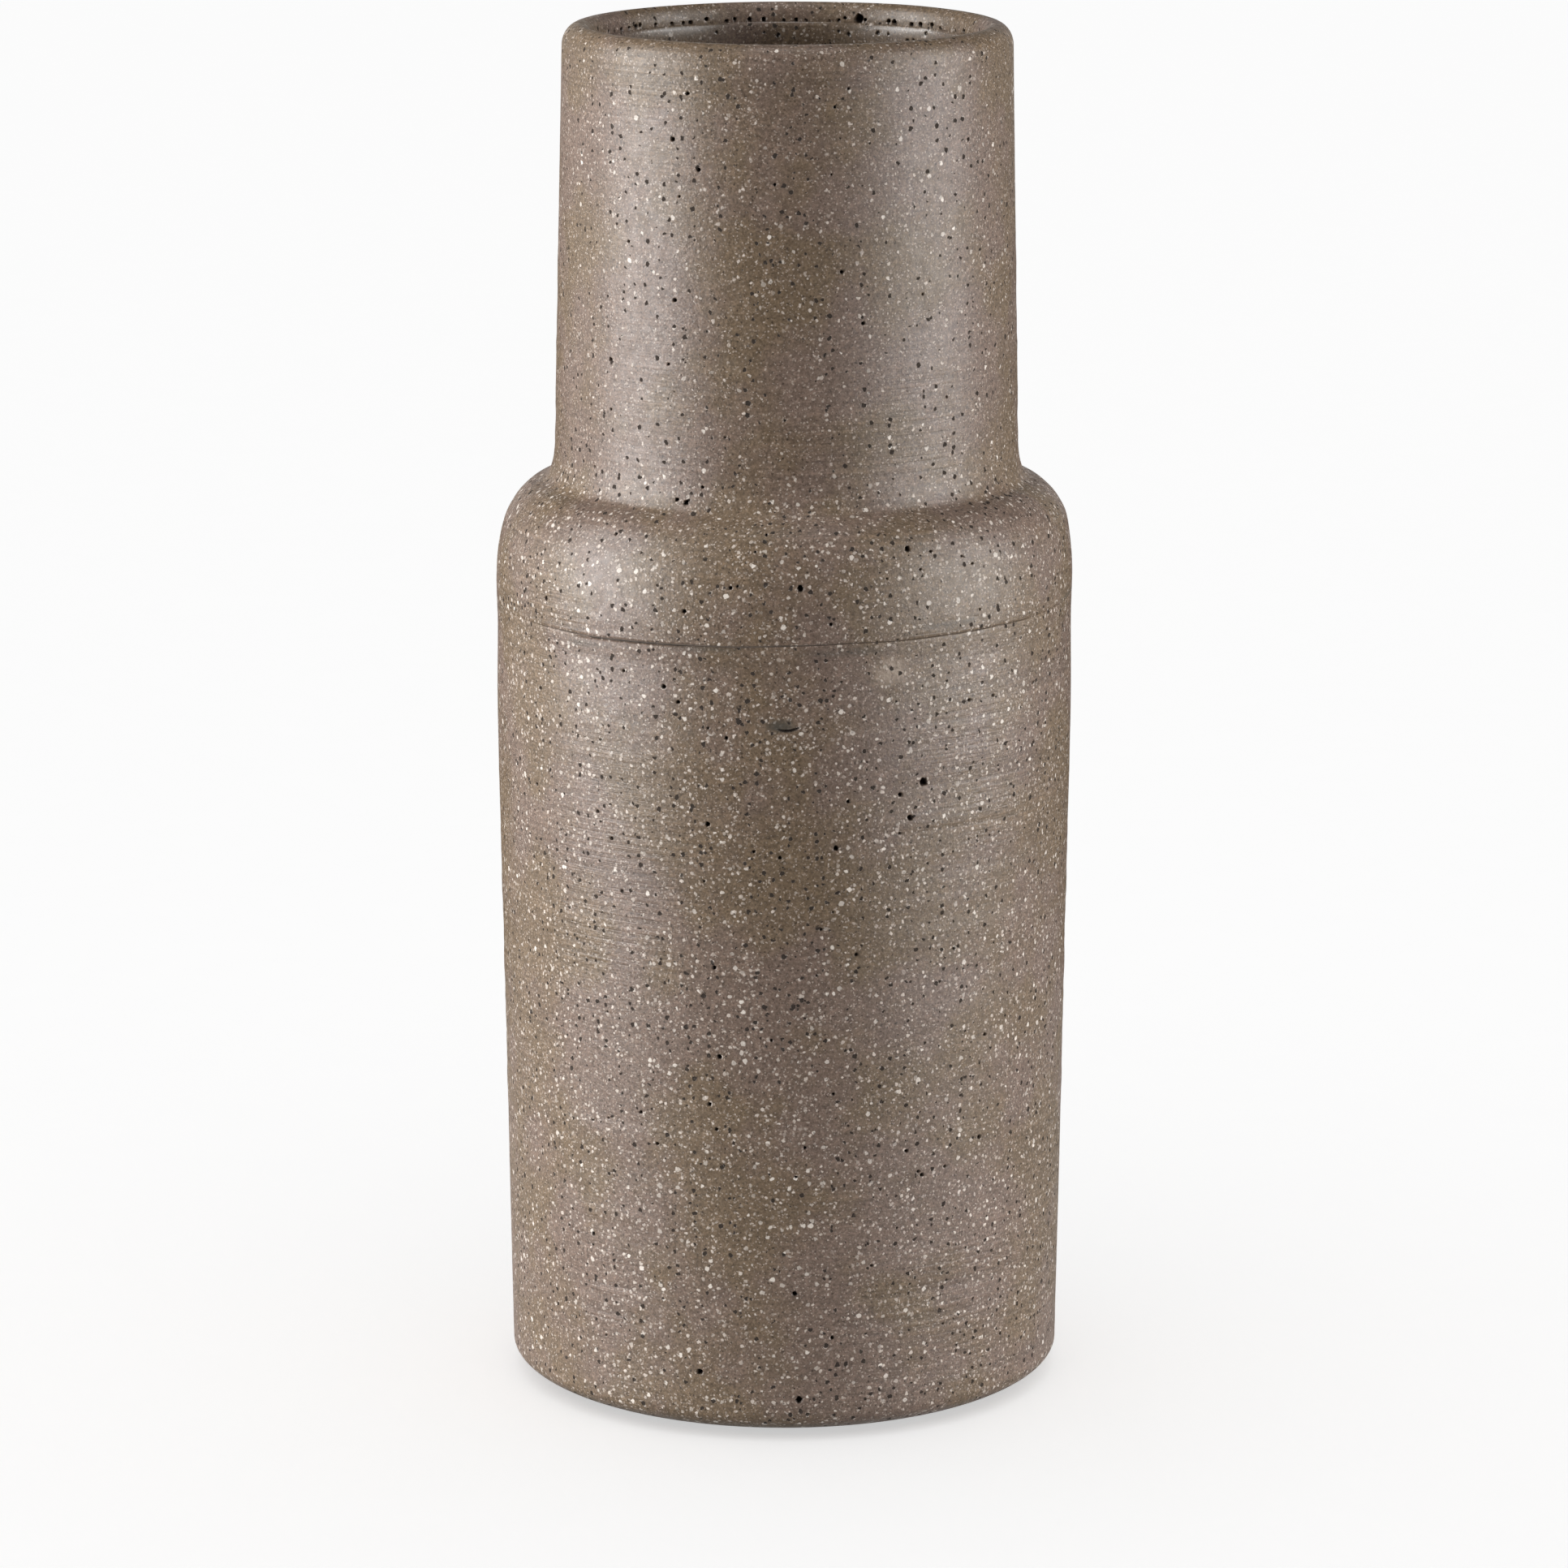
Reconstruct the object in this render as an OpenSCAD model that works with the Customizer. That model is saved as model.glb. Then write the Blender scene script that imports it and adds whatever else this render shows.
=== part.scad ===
// Stoneware pottery vase: a tall, slightly flared cylinder with a rounded
// shoulder and a wide, nearly straight neck. Two clay sections, each shaped on
// its own, are luted together with slip at the widest point. A coil of soft
// clay backs the joint inside, and a clear glaze lines the inside.
//
// Millimetres. The origin is the centre of the foot, on the surface that the
// vase stands on, and +Z runs up through the mouth.

/* [Body] */
// Overall height, from the foot to the top of the lip
height = 300; // [280:5:330]
// Outer radius of the wall just above the rounded foot
foot_r = 60.8; // [58:0.2:62]
// Largest outer radius, where the shoulder starts to turn in
body_r = 63.4; // [62.4:0.2:66]
// Height at which the shoulder starts to turn in
shoulder_z = 176.5; // [160:0.5:180]
// Thickness of the clay wall
wall_t = 6.5; // [5:0.1:8]
// Thickness of the clay floor
floor_t = 9; // [7:0.5:12]
// Radius of the corner inside, between floor and wall
floor_corner_r = 12; // [8:1:16]

/* [Foot] */
// Width of the rounding at the foot, measured inwards from the wall
foot_round_w = 15; // [8:1:18]
// Height of the rounding at the foot
foot_round_h = 6.2; // [4:0.2:8]
// Radius of the shallow recess turned into the underside
recess_r = 38; // [30:1:40]
// Depth of that recess
recess_d = 1.2; // [0.6:0.1:2]
// Radial width of the slope at the edge of the recess
recess_slope_w = 3; // [2:0.5:5]

/* [Shoulder and neck] */
// Height of the crease between shoulder and neck
crease_z = 201.3; // [196:0.1:206]
// Squareness of the shoulder's curve, where 2 is an ellipse
shoulder_power = 2.33; // [2:0.01:2.6]
// Outer radius of the neck at its foot
neck_base_r = 50.6; // [48:0.2:53]
// Outer radius of the neck just below the lip
neck_top_r = 48.6; // [46:0.2:50]
// How far the foot of the neck flares out to the crease
flare_w = 1.2; // [0.6:0.1:2]
// Height of that flare
flare_h = 4.5; // [3:0.5:6]
// Rounding of the edge inside, between shoulder and neck
inner_edge_r = 3; // [2:0.5:4]

/* [Lip] */
// Width of the lip's outer rounding
lip_out_w = 4; // [3:0.1:4.4]
// Height of the lip's outer rounding
lip_out_h = 4.6; // [3:0.1:6]
// Height of the lip's inner rounding
lip_in_h = 3.8; // [3:0.1:4]

/* [Joint] */
// Height of the joint line at the vase's axis
joint_z = 175.7; // [171:0.1:178]
// Tilt of the joint line, which is higher on the +X side
joint_tilt = 0.92; // [0:0.02:1.2]
// Thickness of the layer of slip in the joint
slip_t = 0.6; // [0.4:0.1:1]
// Width of the V-shaped tongue that keys the upper section into the lower one
tongue_w = 3.2; // [2:0.1:3.6]
// Height of that tongue
tongue_h = 1.3; // [0.8:0.1:1.8]
// Height of wall that the coil of clay inside the joint covers
coil_w = 16; // [12:1:20]
// Thickness of that coil at its middle
coil_t = 2.2; // [1.5:0.1:3]

/* [Glaze] */
// Thickness of the glaze inside
glaze_t = 0.4; // [0.3:0.1:0.6]
// Depth of the glaze's upper edge below the top of the lip
glaze_line = 4.2; // [4.2:0.2:8]

/* [Hidden] */
$fn = 128;

CLAY = [0.50, 0.44, 0.39];
SLIP = [0.36, 0.32, 0.28];
COIL = [0.54, 0.47, 0.41];
GLAZE = [0.46, 0.46, 0.46];

// Numbers of straight steps in each curve
ROUND_STEPS = 10;
SHOULDER_STEPS = 26;
COIL_STEPS = 12;
// Reach of the solid that divides the two sections, past the widest radius
CUT_REACH = 20;

// Radius at which the neck's flare meets the shoulder
crease_r = neck_base_r + flare_w;
// Middle of the wall at the joint, where the tongue sits
tongue_r = body_r - wall_t / 2;
// Lowest and highest wall height under the coil
coil_low = joint_z - coil_w / 2;
coil_high = joint_z + coil_w / 2;

// Points on an ellipse of half-axes w and h about [r, z], between two angles,
// leaving out the very first point when first is 1
function arc(r, z, w, h, start_a, end_a, first = 0) =
    [for (i = [first:ROUND_STEPS])
        let (a = start_a + (end_a - start_a) * i / ROUND_STEPS)
        [r + w * cos(a), z + h * sin(a)]];

// A point on the shoulder's curve, at the angle a: it leaves the wall radius r
// upright at 0 degrees and reaches the height z level at 90 degrees
function shoulder_point(r, z, neck_r, a) =
    [neck_r + (r - neck_r) * pow(cos(a), 2 / shoulder_power),
     shoulder_z + (z - shoulder_z) * pow(sin(a), 2 / shoulder_power)];

// Outer radius of the neck at the height z
function neck_r(z) =
    neck_base_r + (neck_top_r - neck_base_r)
        * (z - crease_z) / (height - lip_out_h - crease_z);

// Angle at which the outer shoulder's curve reaches the crease
crease_a = acos(pow(flare_w / (body_r - neck_base_r), shoulder_power / 2));

// Underside, foot and outer wall, shoulder, flare, neck and the lip's outer half
function outer_line() = concat(
    [[0, recess_d], [recess_r - recess_slope_w, recess_d], [recess_r, 0]],
    arc(foot_r - foot_round_w, foot_round_h, foot_round_w, foot_round_h, -90, 0),
    [for (i = [0:SHOULDER_STEPS])
        shoulder_point(body_r, crease_z, neck_base_r, crease_a * i / SHOULDER_STEPS)],
    [for (i = [1:ROUND_STEPS])
        let (u = i / ROUND_STEPS, z = crease_z + flare_h * u)
        [neck_r(z) + flare_w * pow(1 - u, 2), z]],
    arc(neck_top_r - lip_out_w, height - lip_out_h, lip_out_w, lip_out_h, 0, 90));

// Radius of a wall t inside the outer surface, at the height z, from the foot
// to the lower half of the shoulder
function inside_r(t, z) =
    z <= shoulder_z
        ? foot_r - t + (body_r - foot_r) * (z - foot_round_h) / (shoulder_z - foot_round_h)
        : let (rise = (z - shoulder_z) / (crease_z - t - shoulder_z))
          neck_base_r - t + (body_r - neck_base_r)
              * pow(1 - pow(rise, shoulder_power), 1 / shoulder_power);

// How far the coil stands proud of the wall, at the height z
function coil_bump(z) = coil_t * pow(cos(180 * (z - joint_z) / coil_w), 2);

// Line along the wall under the coil, or over the coil when coil is 1
function coil_zone(t, coil) =
    [for (i = [0:COIL_STEPS])
        let (z = coil_low + coil_w * i / COIL_STEPS)
        [inside_r(t, z) - coil * coil_bump(z), z]];

// Inside line at the depth t from the outer surface: from the centre of the
// floor, up the wall and under the shoulder, to the foot of the neck
function inside_line(t, coil) =
    let (floor_z = floor_t + t - wall_t,
         corner = floor_corner_r + wall_t - t,
         corner_r = inside_r(t, floor_z + corner) - corner,
         roof_z = crease_z - t,
         edge = inner_edge_r + t - wall_t,
         roof_start = max(coil_high - shoulder_z, 0) / (roof_z - shoulder_z),
         start_a = asin(pow(roof_start, shoulder_power / 2)),
         end_a = acos(pow(edge / (body_r - neck_base_r), shoulder_power / 2)),
         roof_end = shoulder_point(body_r - t, roof_z, neck_base_r - t, end_a),
         edge_z = roof_end[1] + edge,
         edge_w = roof_end[0] - neck_r(edge_z) + t)
    concat(
        [[0, floor_z]],
        arc(corner_r, floor_z + corner, corner, corner, -90, 0),
        coil_zone(t, coil),
        [for (i = [1:SHOULDER_STEPS])
            shoulder_point(body_r - t, roof_z, neck_base_r - t,
                start_a + (end_a - start_a) * i / SHOULDER_STEPS)],
        arc(roof_end[0], edge_z, edge_w, edge, -90, -180, first = 1));

function reversed(points) = [for (i = [len(points) - 1:-1:0]) points[i]];

// The whole clay wall in one piece, before the joint divides it
module clay_shell() {
    lip_r = neck_top_r - lip_out_w;
    top = height - lip_in_h;
    lip_in_w = lip_r - neck_r(top) + wall_t;
    rotate_extrude()
        polygon(concat(
            outer_line(),
            arc(lip_r, top, lip_in_w, lip_in_h, 90, 180, first = 1),
            reversed(inside_line(wall_t, 0))));
}

// Everything above the joint's keyed face, raised by the distance up
module above_joint(up) {
    reach = body_r + CUT_REACH;
    translate([0, 0, joint_z])
        rotate([0, -joint_tilt, 0])
            rotate_extrude()
                polygon([
                    [0, up],
                    [tongue_r - tongue_w / 2, up],
                    [tongue_r, up - tongue_h],
                    [tongue_r + tongue_w / 2, up],
                    [reach, up],
                    [reach, height],
                    [0, height]]);
}

module lower_section() {
    color(CLAY)
        difference() {
            clay_shell();
            above_joint(-slip_t / 2);
        }
}

module upper_section() {
    color(CLAY)
        intersection() {
            clay_shell();
            above_joint(slip_t / 2);
        }
}

module luting_slip() {
    color(SLIP)
        intersection() {
            clay_shell();
            difference() {
                above_joint(-slip_t / 2);
                above_joint(slip_t / 2);
            }
        }
}

module joint_coil() {
    color(COIL)
        rotate_extrude()
            polygon(concat(coil_zone(wall_t, 0), reversed(coil_zone(wall_t, 1))));
}

module inner_glaze() {
    top = height - glaze_line;
    top_r = neck_r(top) - wall_t;
    color(GLAZE)
        rotate_extrude()
            polygon(concat(
                inside_line(wall_t, 1),
                [[top_r, top], [top_r - glaze_t, top]],
                reversed(inside_line(wall_t + glaze_t, 1))));
}

lower_section();
upper_section();
luting_slip();
joint_coil();
inner_glaze();
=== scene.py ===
"""Looks of the stoneware vase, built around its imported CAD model.

The two clay sections, the slip between them and the glaze inside are turned again here as fine
meshes, with the small faults that a hand-made wall has: faint turning rings, pin holes, a tool mark
and an uneven joint line. The vase's lengths are in millimetres until mesh_object() turns them into
metres. The floor, the lights and the camera are in metres. An angle of 0 faces -Y, and 90 faces +X.
"""

import math
import random
from collections import namedtuple

import bmesh
import bpy
import numpy as np
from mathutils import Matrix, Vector, noise


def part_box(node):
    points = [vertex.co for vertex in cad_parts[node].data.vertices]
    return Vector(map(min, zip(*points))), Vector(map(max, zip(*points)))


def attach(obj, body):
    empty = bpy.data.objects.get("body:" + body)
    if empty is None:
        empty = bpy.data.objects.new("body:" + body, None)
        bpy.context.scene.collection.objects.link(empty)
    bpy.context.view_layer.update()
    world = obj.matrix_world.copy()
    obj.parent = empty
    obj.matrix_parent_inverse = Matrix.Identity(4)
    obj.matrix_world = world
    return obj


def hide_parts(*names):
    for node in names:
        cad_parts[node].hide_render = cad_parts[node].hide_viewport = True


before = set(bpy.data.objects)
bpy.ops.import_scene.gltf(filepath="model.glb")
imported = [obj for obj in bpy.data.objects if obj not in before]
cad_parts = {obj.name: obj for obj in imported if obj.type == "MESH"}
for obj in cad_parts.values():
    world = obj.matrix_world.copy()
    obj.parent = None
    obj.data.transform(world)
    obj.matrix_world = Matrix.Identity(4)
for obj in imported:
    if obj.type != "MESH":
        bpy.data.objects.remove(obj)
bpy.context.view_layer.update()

MM = 0.001


# ---------------------------------------------------------------- dimensions, in millimetres

def box_mm(node):
    """Lowest and highest corner of a CAD node, in millimetres."""
    low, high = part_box(node)
    return low / MM, high / MM


HEIGHT = box_mm("upper_section")[1].z
BODY_R = box_mm("upper_section")[1].x
GLAZE_LOW = box_mm("inner_glaze")[0].z
GLAZE_HIGH = box_mm("inner_glaze")[1].z
COIL_LOW = box_mm("joint_coil")[0].z
COIL_HIGH = box_mm("joint_coil")[1].z
COIL_Z = (COIL_LOW + COIL_HIGH) / 2

# Foot and body
FOOT_R = 60.8
FOOT_ROUND_W = 15.0
FOOT_ROUND_H = 6.2
RECESS_R = 38.0
RECESS_D = 1.2
RECESS_SLOPE_W = 3.0
SHOULDER_Z = 176.5
WALL_T = 6.5
CORNER_R = 12.0

# Shoulder, neck and lip
CREASE_Z = 201.3
SHOULDER_POWER = 2.33
NECK_BASE_R = 50.6
NECK_TOP_R = 48.6
FLARE_W = 1.5
FLARE_H = 6.5
LIP_OUT_W = 4.0
LIP_OUT_H = 4.6
LIP_IN_H = 3.8
INNER_EDGE_R = 3.0

# Joint between the two sections
JOINT_Z = 175.7
JOINT_RISE = math.tan(math.radians(0.92))
JOINT_FADE = 24.0
SLIP_T = 0.6
TONGUE_W = 3.2
TONGUE_H = 1.3
COIL_T = 2.2
GLAZE_T = 0.4
GLAZE_TAPER = 2.4

# The sections' edges at the joint: their chamfer, and the hairline gap left between them
CHAMFER_W = 0.06
CHAMFER_H = 0.07
GAP_LOW = 0.02
GAP_HIGH = 0.13

# How far the slip's outer edge stays inside the wall
SLIP_INSET = 0.25

# The edges close over the slip from this far inside the widest radius, over this width and height
CLOSE_IN = 1.5
CLOSE_W = 1.2
CLOSE_H = 2.0

# Waves round the joint: how often each goes round, its size and its phase. The first set raises the
# joint line, in millimetres, and the second opens and closes the gap, as a share of its range.
JOINT_WAVES = [(5, 0.10, 1.0), (11, 0.07, 0.0), (23, 0.04, 2.0)]
GAP_WAVES = [(3, 0.38, 0.6), (7, 0.32, 2.2)]
GAP_MEAN = 0.42

# The neck's axis stands this far from the body's, towards +X, and further by this share of the height
# above the crease. The step to the side is spread over the shoulder, from NECK_STEP_Z up.
NECK_OFFSET = 0.45
NECK_LEAN = 0.003
NECK_STEP_Z = 185.0
NECK_STEP_H = 12.0

# Outside PRESSED_R, the wall is pressed in a little below the joint and swells a little on the shoulder
PRESSED_R = 57.0
PRESSED_FADE = 2.0
HOLLOW_Z = 172.0
HOLLOW_W = 14.0
HOLLOW_D = 0.5
SWELL_Z = 194.0
SWELL_W = 5.0
SWELL_D = 0.3

# Fineness of the meshes: columns round the vase, and the spacing of rows where it shows, on the
# crease, on the lip, on the glaze and where it is hidden
COLUMNS = 240
FINE = 1.1
CREASE_FINE = 0.8
LIP_FINE = 0.6
GLAZE_FINE = 2.5
COARSE = 5.0

# Numbers of straight steps in each curve, and of passes that soften the crease
FOOT_STEPS = 16
SHOULDER_STEPS = 89
FLARE_STEPS = 8
LIP_STEPS = 12
CORNER_STEPS = 10
ROOF_STEPS = 25
EDGE_STEPS = 8
CREASE_PASSES = 4


# ---------------------------------------------------------------- outline of the vase

def arc(r, z, w, h, start, end, steps):
    """Points on an ellipse of half-axes w and h about (r, z), between two angles in degrees."""
    angles = np.radians(np.linspace(start, end, steps + 1))
    return [(r + w * math.cos(a), z + h * math.sin(a)) for a in angles]


def shoulder_point(r, z, inner_r, angle):
    """Point on the shoulder's curve: at the wall radius r at angle 0, and at the height z a quarter
    turn further. The angle is in radians."""
    power = 2 / SHOULDER_POWER
    return (inner_r + (r - inner_r) * math.cos(angle) ** power,
            SHOULDER_Z + (z - SHOULDER_Z) * math.sin(angle) ** power)


def neck_r(z):
    """Outer radius of the neck at a height."""
    share = (z - CREASE_Z) / (HEIGHT - LIP_OUT_H - CREASE_Z)
    return NECK_BASE_R + (NECK_TOP_R - NECK_BASE_R) * share


def body_r(z):
    """Outer radius of the body below the shoulder."""
    return FOOT_R + (BODY_R - FOOT_R) * (z - FOOT_ROUND_H) / (SHOULDER_Z - FOOT_ROUND_H)


def inside_r(depth, z):
    """Radius of a wall at some depth inside the outer surface, up to the lower half of the shoulder."""
    if z <= SHOULDER_Z:
        return body_r(z) - depth
    rise = (z - SHOULDER_Z) / (CREASE_Z - depth - SHOULDER_Z)
    across = (1 - rise ** SHOULDER_POWER) ** (1 / SHOULDER_POWER)
    return NECK_BASE_R - depth + (BODY_R - NECK_BASE_R) * across


def spaced(points, step):
    """The same outline with points at even distances of about step."""
    path = np.array(points, float)
    along = np.concatenate([[0], np.cumsum(np.hypot(*np.diff(path, axis=0).T))])
    count = max(1, round(along[-1] / step))
    where = np.linspace(0, along[-1], count + 1)
    return [(float(r), float(z)) for r, z in zip(np.interp(where, along, path[:, 0]),
                                                 np.interp(where, along, path[:, 1]))]


def underside():
    """From the centre of the underside to the flat ring that the vase stands on."""
    slope_r = RECESS_R - RECESS_SLOPE_W
    bend = (RECESS_R - RECESS_SLOPE_W / 3, 0.35 * RECESS_D)
    return [(0, RECESS_D), (slope_r, RECESS_D), bend, (RECESS_R, 0), (FOOT_R - FOOT_ROUND_W, 0)]


def shoulder_line():
    """From the top of the body over the shoulder to the crease at the neck's foot."""
    crease = math.acos((FLARE_W / (BODY_R - NECK_BASE_R)) ** (SHOULDER_POWER / 2))
    angles = np.linspace(0, crease, SHOULDER_STEPS + 1)
    return [shoulder_point(BODY_R, CREASE_Z, NECK_BASE_R, a) for a in angles]


def flare_line():
    """From the crease up the flare at the neck's foot."""
    return [(neck_r(CREASE_Z + FLARE_H * u) + FLARE_W * (1 - u) ** 2, CREASE_Z + FLARE_H * u)
            for u in np.linspace(0, 1, FLARE_STEPS + 1)]


def lip_line():
    """Over the lip, from the neck outside to the neck inside."""
    crest_r = NECK_TOP_R - LIP_OUT_W
    low = HEIGHT - LIP_IN_H
    inner_w = crest_r - (neck_r(low) - WALL_T)
    outer = arc(crest_r, HEIGHT - LIP_OUT_H, LIP_OUT_W, LIP_OUT_H, 0, 90, LIP_STEPS)
    inner = arc(crest_r, low, inner_w, LIP_IN_H, 90, 180, LIP_STEPS)
    return outer + inner[1:]


def coil_bump(z):
    """How far the coil of clay over the joint stands proud of the wall inside."""
    if not COIL_LOW < z < COIL_HIGH:
        return 0.0
    return COIL_T * math.cos(math.pi * (z - COIL_Z) / (COIL_HIGH - COIL_LOW)) ** 2


def coil_wall(depth, coil, above):
    """The wall inside along the coil, above or below the joint: over the coil if coil is 1, or under it
    if coil is 0."""
    heights = np.arange(COIL_LOW, COIL_HIGH, 1.0)
    return [(inside_r(depth, z) - coil * coil_bump(z), z) for z in heights if (z > JOINT_Z) == above]


def inside_lower(depth, coil):
    """From the centre of the floor up the wall inside to the joint."""
    floor = GLAZE_LOW + depth - WALL_T
    corner = CORNER_R + WALL_T - depth
    corner_r = inside_r(depth, floor + corner) - corner
    bend = arc(corner_r, floor + corner, corner, corner, -90, 0, CORNER_STEPS)
    return [(0, floor)] + bend + coil_wall(depth, coil, above=False)


def inside_upper(depth, coil):
    """From the joint up under the shoulder to the foot of the neck inside."""
    roof = CREASE_Z - depth
    edge = INNER_EDGE_R + depth - WALL_T
    start = math.asin(((COIL_HIGH - SHOULDER_Z) / (roof - SHOULDER_Z)) ** (SHOULDER_POWER / 2))
    end = math.acos((edge / (BODY_R - NECK_BASE_R)) ** (SHOULDER_POWER / 2))
    curve = [shoulder_point(BODY_R - depth, roof, NECK_BASE_R - depth, a)
             for a in np.linspace(start, end, ROOF_STEPS + 1)]
    edge_r = curve[-1][0]
    edge_z = curve[-1][1] + edge
    edge_w = edge_r - neck_r(edge_z) + depth
    bend = arc(edge_r, edge_z, edge_w, edge, -90, -180, EDGE_STEPS)
    return coil_wall(depth, coil, above=True) + curve + bend[1:]


def joint_face(up):
    """Across the joint from its tongue to the inside, at some height above the middle of the joint."""
    face_z = JOINT_Z + up
    tongue_r = BODY_R - WALL_T / 2
    return [(tongue_r + TONGUE_W / 2, face_z), (tongue_r, face_z - TONGUE_H),
            (tongue_r - TONGUE_W / 2, face_z), (inside_r(WALL_T, JOINT_Z), face_z)]


# ---------------------------------------------------------------- turning the meshes

def eased(t):
    """0 below 0, 1 above 1 and a smooth step between."""
    t = np.clip(t, 0, 1)
    return t * t * (3 - 2 * t)


def smooth_step(value, low, high):
    """0 below low, 1 above high and a smooth step between, as a plain number."""
    return float(eased((value - low) / (high - low)))


def waves(angles, parts):
    """Sum of sine waves round the vase, each given by how often it goes round, its size and its phase."""
    return sum(size * np.sin(turns * angles + phase) for turns, size, phase in parts)


def joint_shift(angles, radii, heights):
    """How far points rise to follow the joint: its tilt and waves, and the clay closing at its edge."""
    near = eased(1 - np.abs(heights - JOINT_Z) / JOINT_FADE)
    tilt = JOINT_RISE * radii * np.sin(angles)
    gap = GAP_LOW + (GAP_HIGH - GAP_LOW) * np.clip(GAP_MEAN + waves(angles, GAP_WAVES), 0, 1)
    outwards = eased((radii - BODY_R + CLOSE_IN) / CLOSE_W)
    upwards = np.clip(1 - np.abs(heights - JOINT_Z) / CLOSE_H, 0, 1)
    squeeze = np.sign(JOINT_Z - heights) * (SLIP_T / 2 - gap / 2) * (outwards * upwards)
    return near * (tilt + waves(angles, JOINT_WAVES)) + squeeze


def neck_shift(heights):
    """How far the neck stands to one side, since it wasn't set quite centrally on the shoulder."""
    step = NECK_OFFSET * eased((heights - NECK_STEP_Z) / NECK_STEP_H)
    return step + NECK_LEAN * np.clip(heights - CREASE_Z, 0, None)


def pressed(radii, heights):
    """How far the outside of the wall stands out from the true outline."""
    hollow = HOLLOW_D * np.exp(-((heights - HOLLOW_Z) / HOLLOW_W) ** 2)
    swell = SWELL_D * np.exp(-((heights - SWELL_Z) / SWELL_W) ** 2)
    return (swell - hollow) * eased((radii - PRESSED_R) / PRESSED_FADE)


def softened(points, passes):
    """The same outline with its corners rounded off; more passes round them further."""
    path = np.array(points, float)
    for _ in range(passes):
        path[1:-1] = (path[:-2] + 2 * path[1:-1] + path[2:]) / 4
    return [(float(r), float(z)) for r, z in path]


def lathe(outline, relief=None):
    """Vertices and faces of an outline turned about the axis. An end on the axis closes in one vertex.

    relief(angles, radii, heights) gives how far each point moves outwards along the outline's normal."""
    path = np.array(outline, float)
    ahead = np.gradient(path, axis=0)
    normals = np.stack([ahead[:, 1], -ahead[:, 0]], 1)
    normals /= np.maximum(np.hypot(*normals.T), 1e-9)[:, None]
    angles = np.arange(COLUMNS) * 2 * math.pi / COLUMNS
    radii = np.repeat(path[:, :1], COLUMNS, 1)
    heights = np.repeat(path[:, 1:], COLUMNS, 1)
    if relief:
        push = relief(angles[None, :], radii, heights)
        radii = radii + push * normals[:, :1]
        heights = heights + push * normals[:, 1:]
    radii = radii + pressed(radii, heights)
    x = radii * np.sin(angles) + neck_shift(heights)
    y = -radii * np.cos(angles)
    z = heights + joint_shift(angles[None, :], radii, heights)
    verts = []
    rows = []
    for i in range(len(path)):
        if path[i, 0] < 1e-6:
            rows.append([len(verts)])
            verts.append((0, 0, float(path[i, 1])))
        else:
            rows.append(list(range(len(verts), len(verts) + COLUMNS)))
            verts.extend(zip(x[i].tolist(), y[i].tolist(), z[i].tolist()))
    faces = []
    pairs = list(zip(rows, rows[1:]))
    if len(rows[0]) > 1:
        pairs.append((rows[-1], rows[0]))
    for low, high in pairs:
        for c in range(COLUMNS):
            n = (c + 1) % COLUMNS
            if len(low) == 1:
                faces.append((low[0], high[n], high[c]))
            elif len(high) == 1:
                faces.append((low[c], low[n], high[0]))
            else:
                faces.append((low[c], low[n], high[n], high[c]))
    return verts, faces


def surface_point(angle, r, z):
    """Place of a point on the outside, in millimetres, from its angle in degrees."""
    a = math.radians(angle)
    return Vector((r * math.sin(a), -r * math.cos(a), z))


def outer_r(z):
    """Radius of the outer surface at a height."""
    if z < FOOT_ROUND_H:
        up = 1 - z / FOOT_ROUND_H
        return FOOT_R - FOOT_ROUND_W + FOOT_ROUND_W * math.sqrt(1 - up * up)
    if z < SHOULDER_Z:
        return body_r(z)
    if z < CREASE_Z:
        return inside_r(0, z)
    return neck_r(z)


# Shares of a fault's half size: where its flat bottom ends, where its mark starts to fade in a pit and
# in any other fault, and where the mark ends
FLAT_SHARE = 0.25
SHARP_MARK = 0.6
SOFT_MARK = 0.2
MARK_END = 1.05

# The faces round a pit are divided this many times, out to this share of its reach, and a fault can
# touch vertices out to the last share
REFINE_PASSES = 3
REFINE_REACH = 1.3
FAULT_REACH = 1.6


class Fault:
    """A small flaw in the wall: a bowl with an uneven outline, which also marks the clay in an attribute.

    It lies on the outside, or on the neck's inside when inside is given: the thickness of glaze there."""

    def __init__(self, angle, z, width, height=None, depth=0.0, mark="pit", strength=1.0, inside=None):
        r = outer_r(z) if inside is None else neck_r(z) - WALL_T - inside
        r += float(pressed(r, z))
        self.centre = surface_point(angle, r, z)
        self.centre.x += float(neck_shift(z))
        self.half = Vector((width / 2, (height or width) / 2))
        self.reach = max(self.half)
        self.depth = depth
        self.mark = mark
        self.strength = strength
        out = surface_point(angle, 1, 0)
        self.inwards = -out if inside is None else out
        self.around = Vector((-out.y, out.x, 0))
        self.seed = angle * 0.37 + z * 0.11

    def share(self, point):
        """Distance from the middle as a share of the fault's uneven half size."""
        offset = point - self.centre
        flat = Vector((offset.dot(self.around) / self.half.x, offset.z / self.half.y))
        away = max(flat.length, 1e-6)
        side = flat / away
        wave = noise.noise(Vector((side.x * 1.3, side.y * 1.3, self.seed)))
        return away / (1 + 0.35 * wave)


def pit(angle, z, width, inside=None):
    """A pin hole, whose mark lets the shader darken it with painted shade. In the glaze it is a little
    shallower than the glaze is thick.
    """
    depth = 0.8 * inside if inside else 0.85 * width
    return Fault(angle, z, width, depth=depth, inside=inside)


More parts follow.
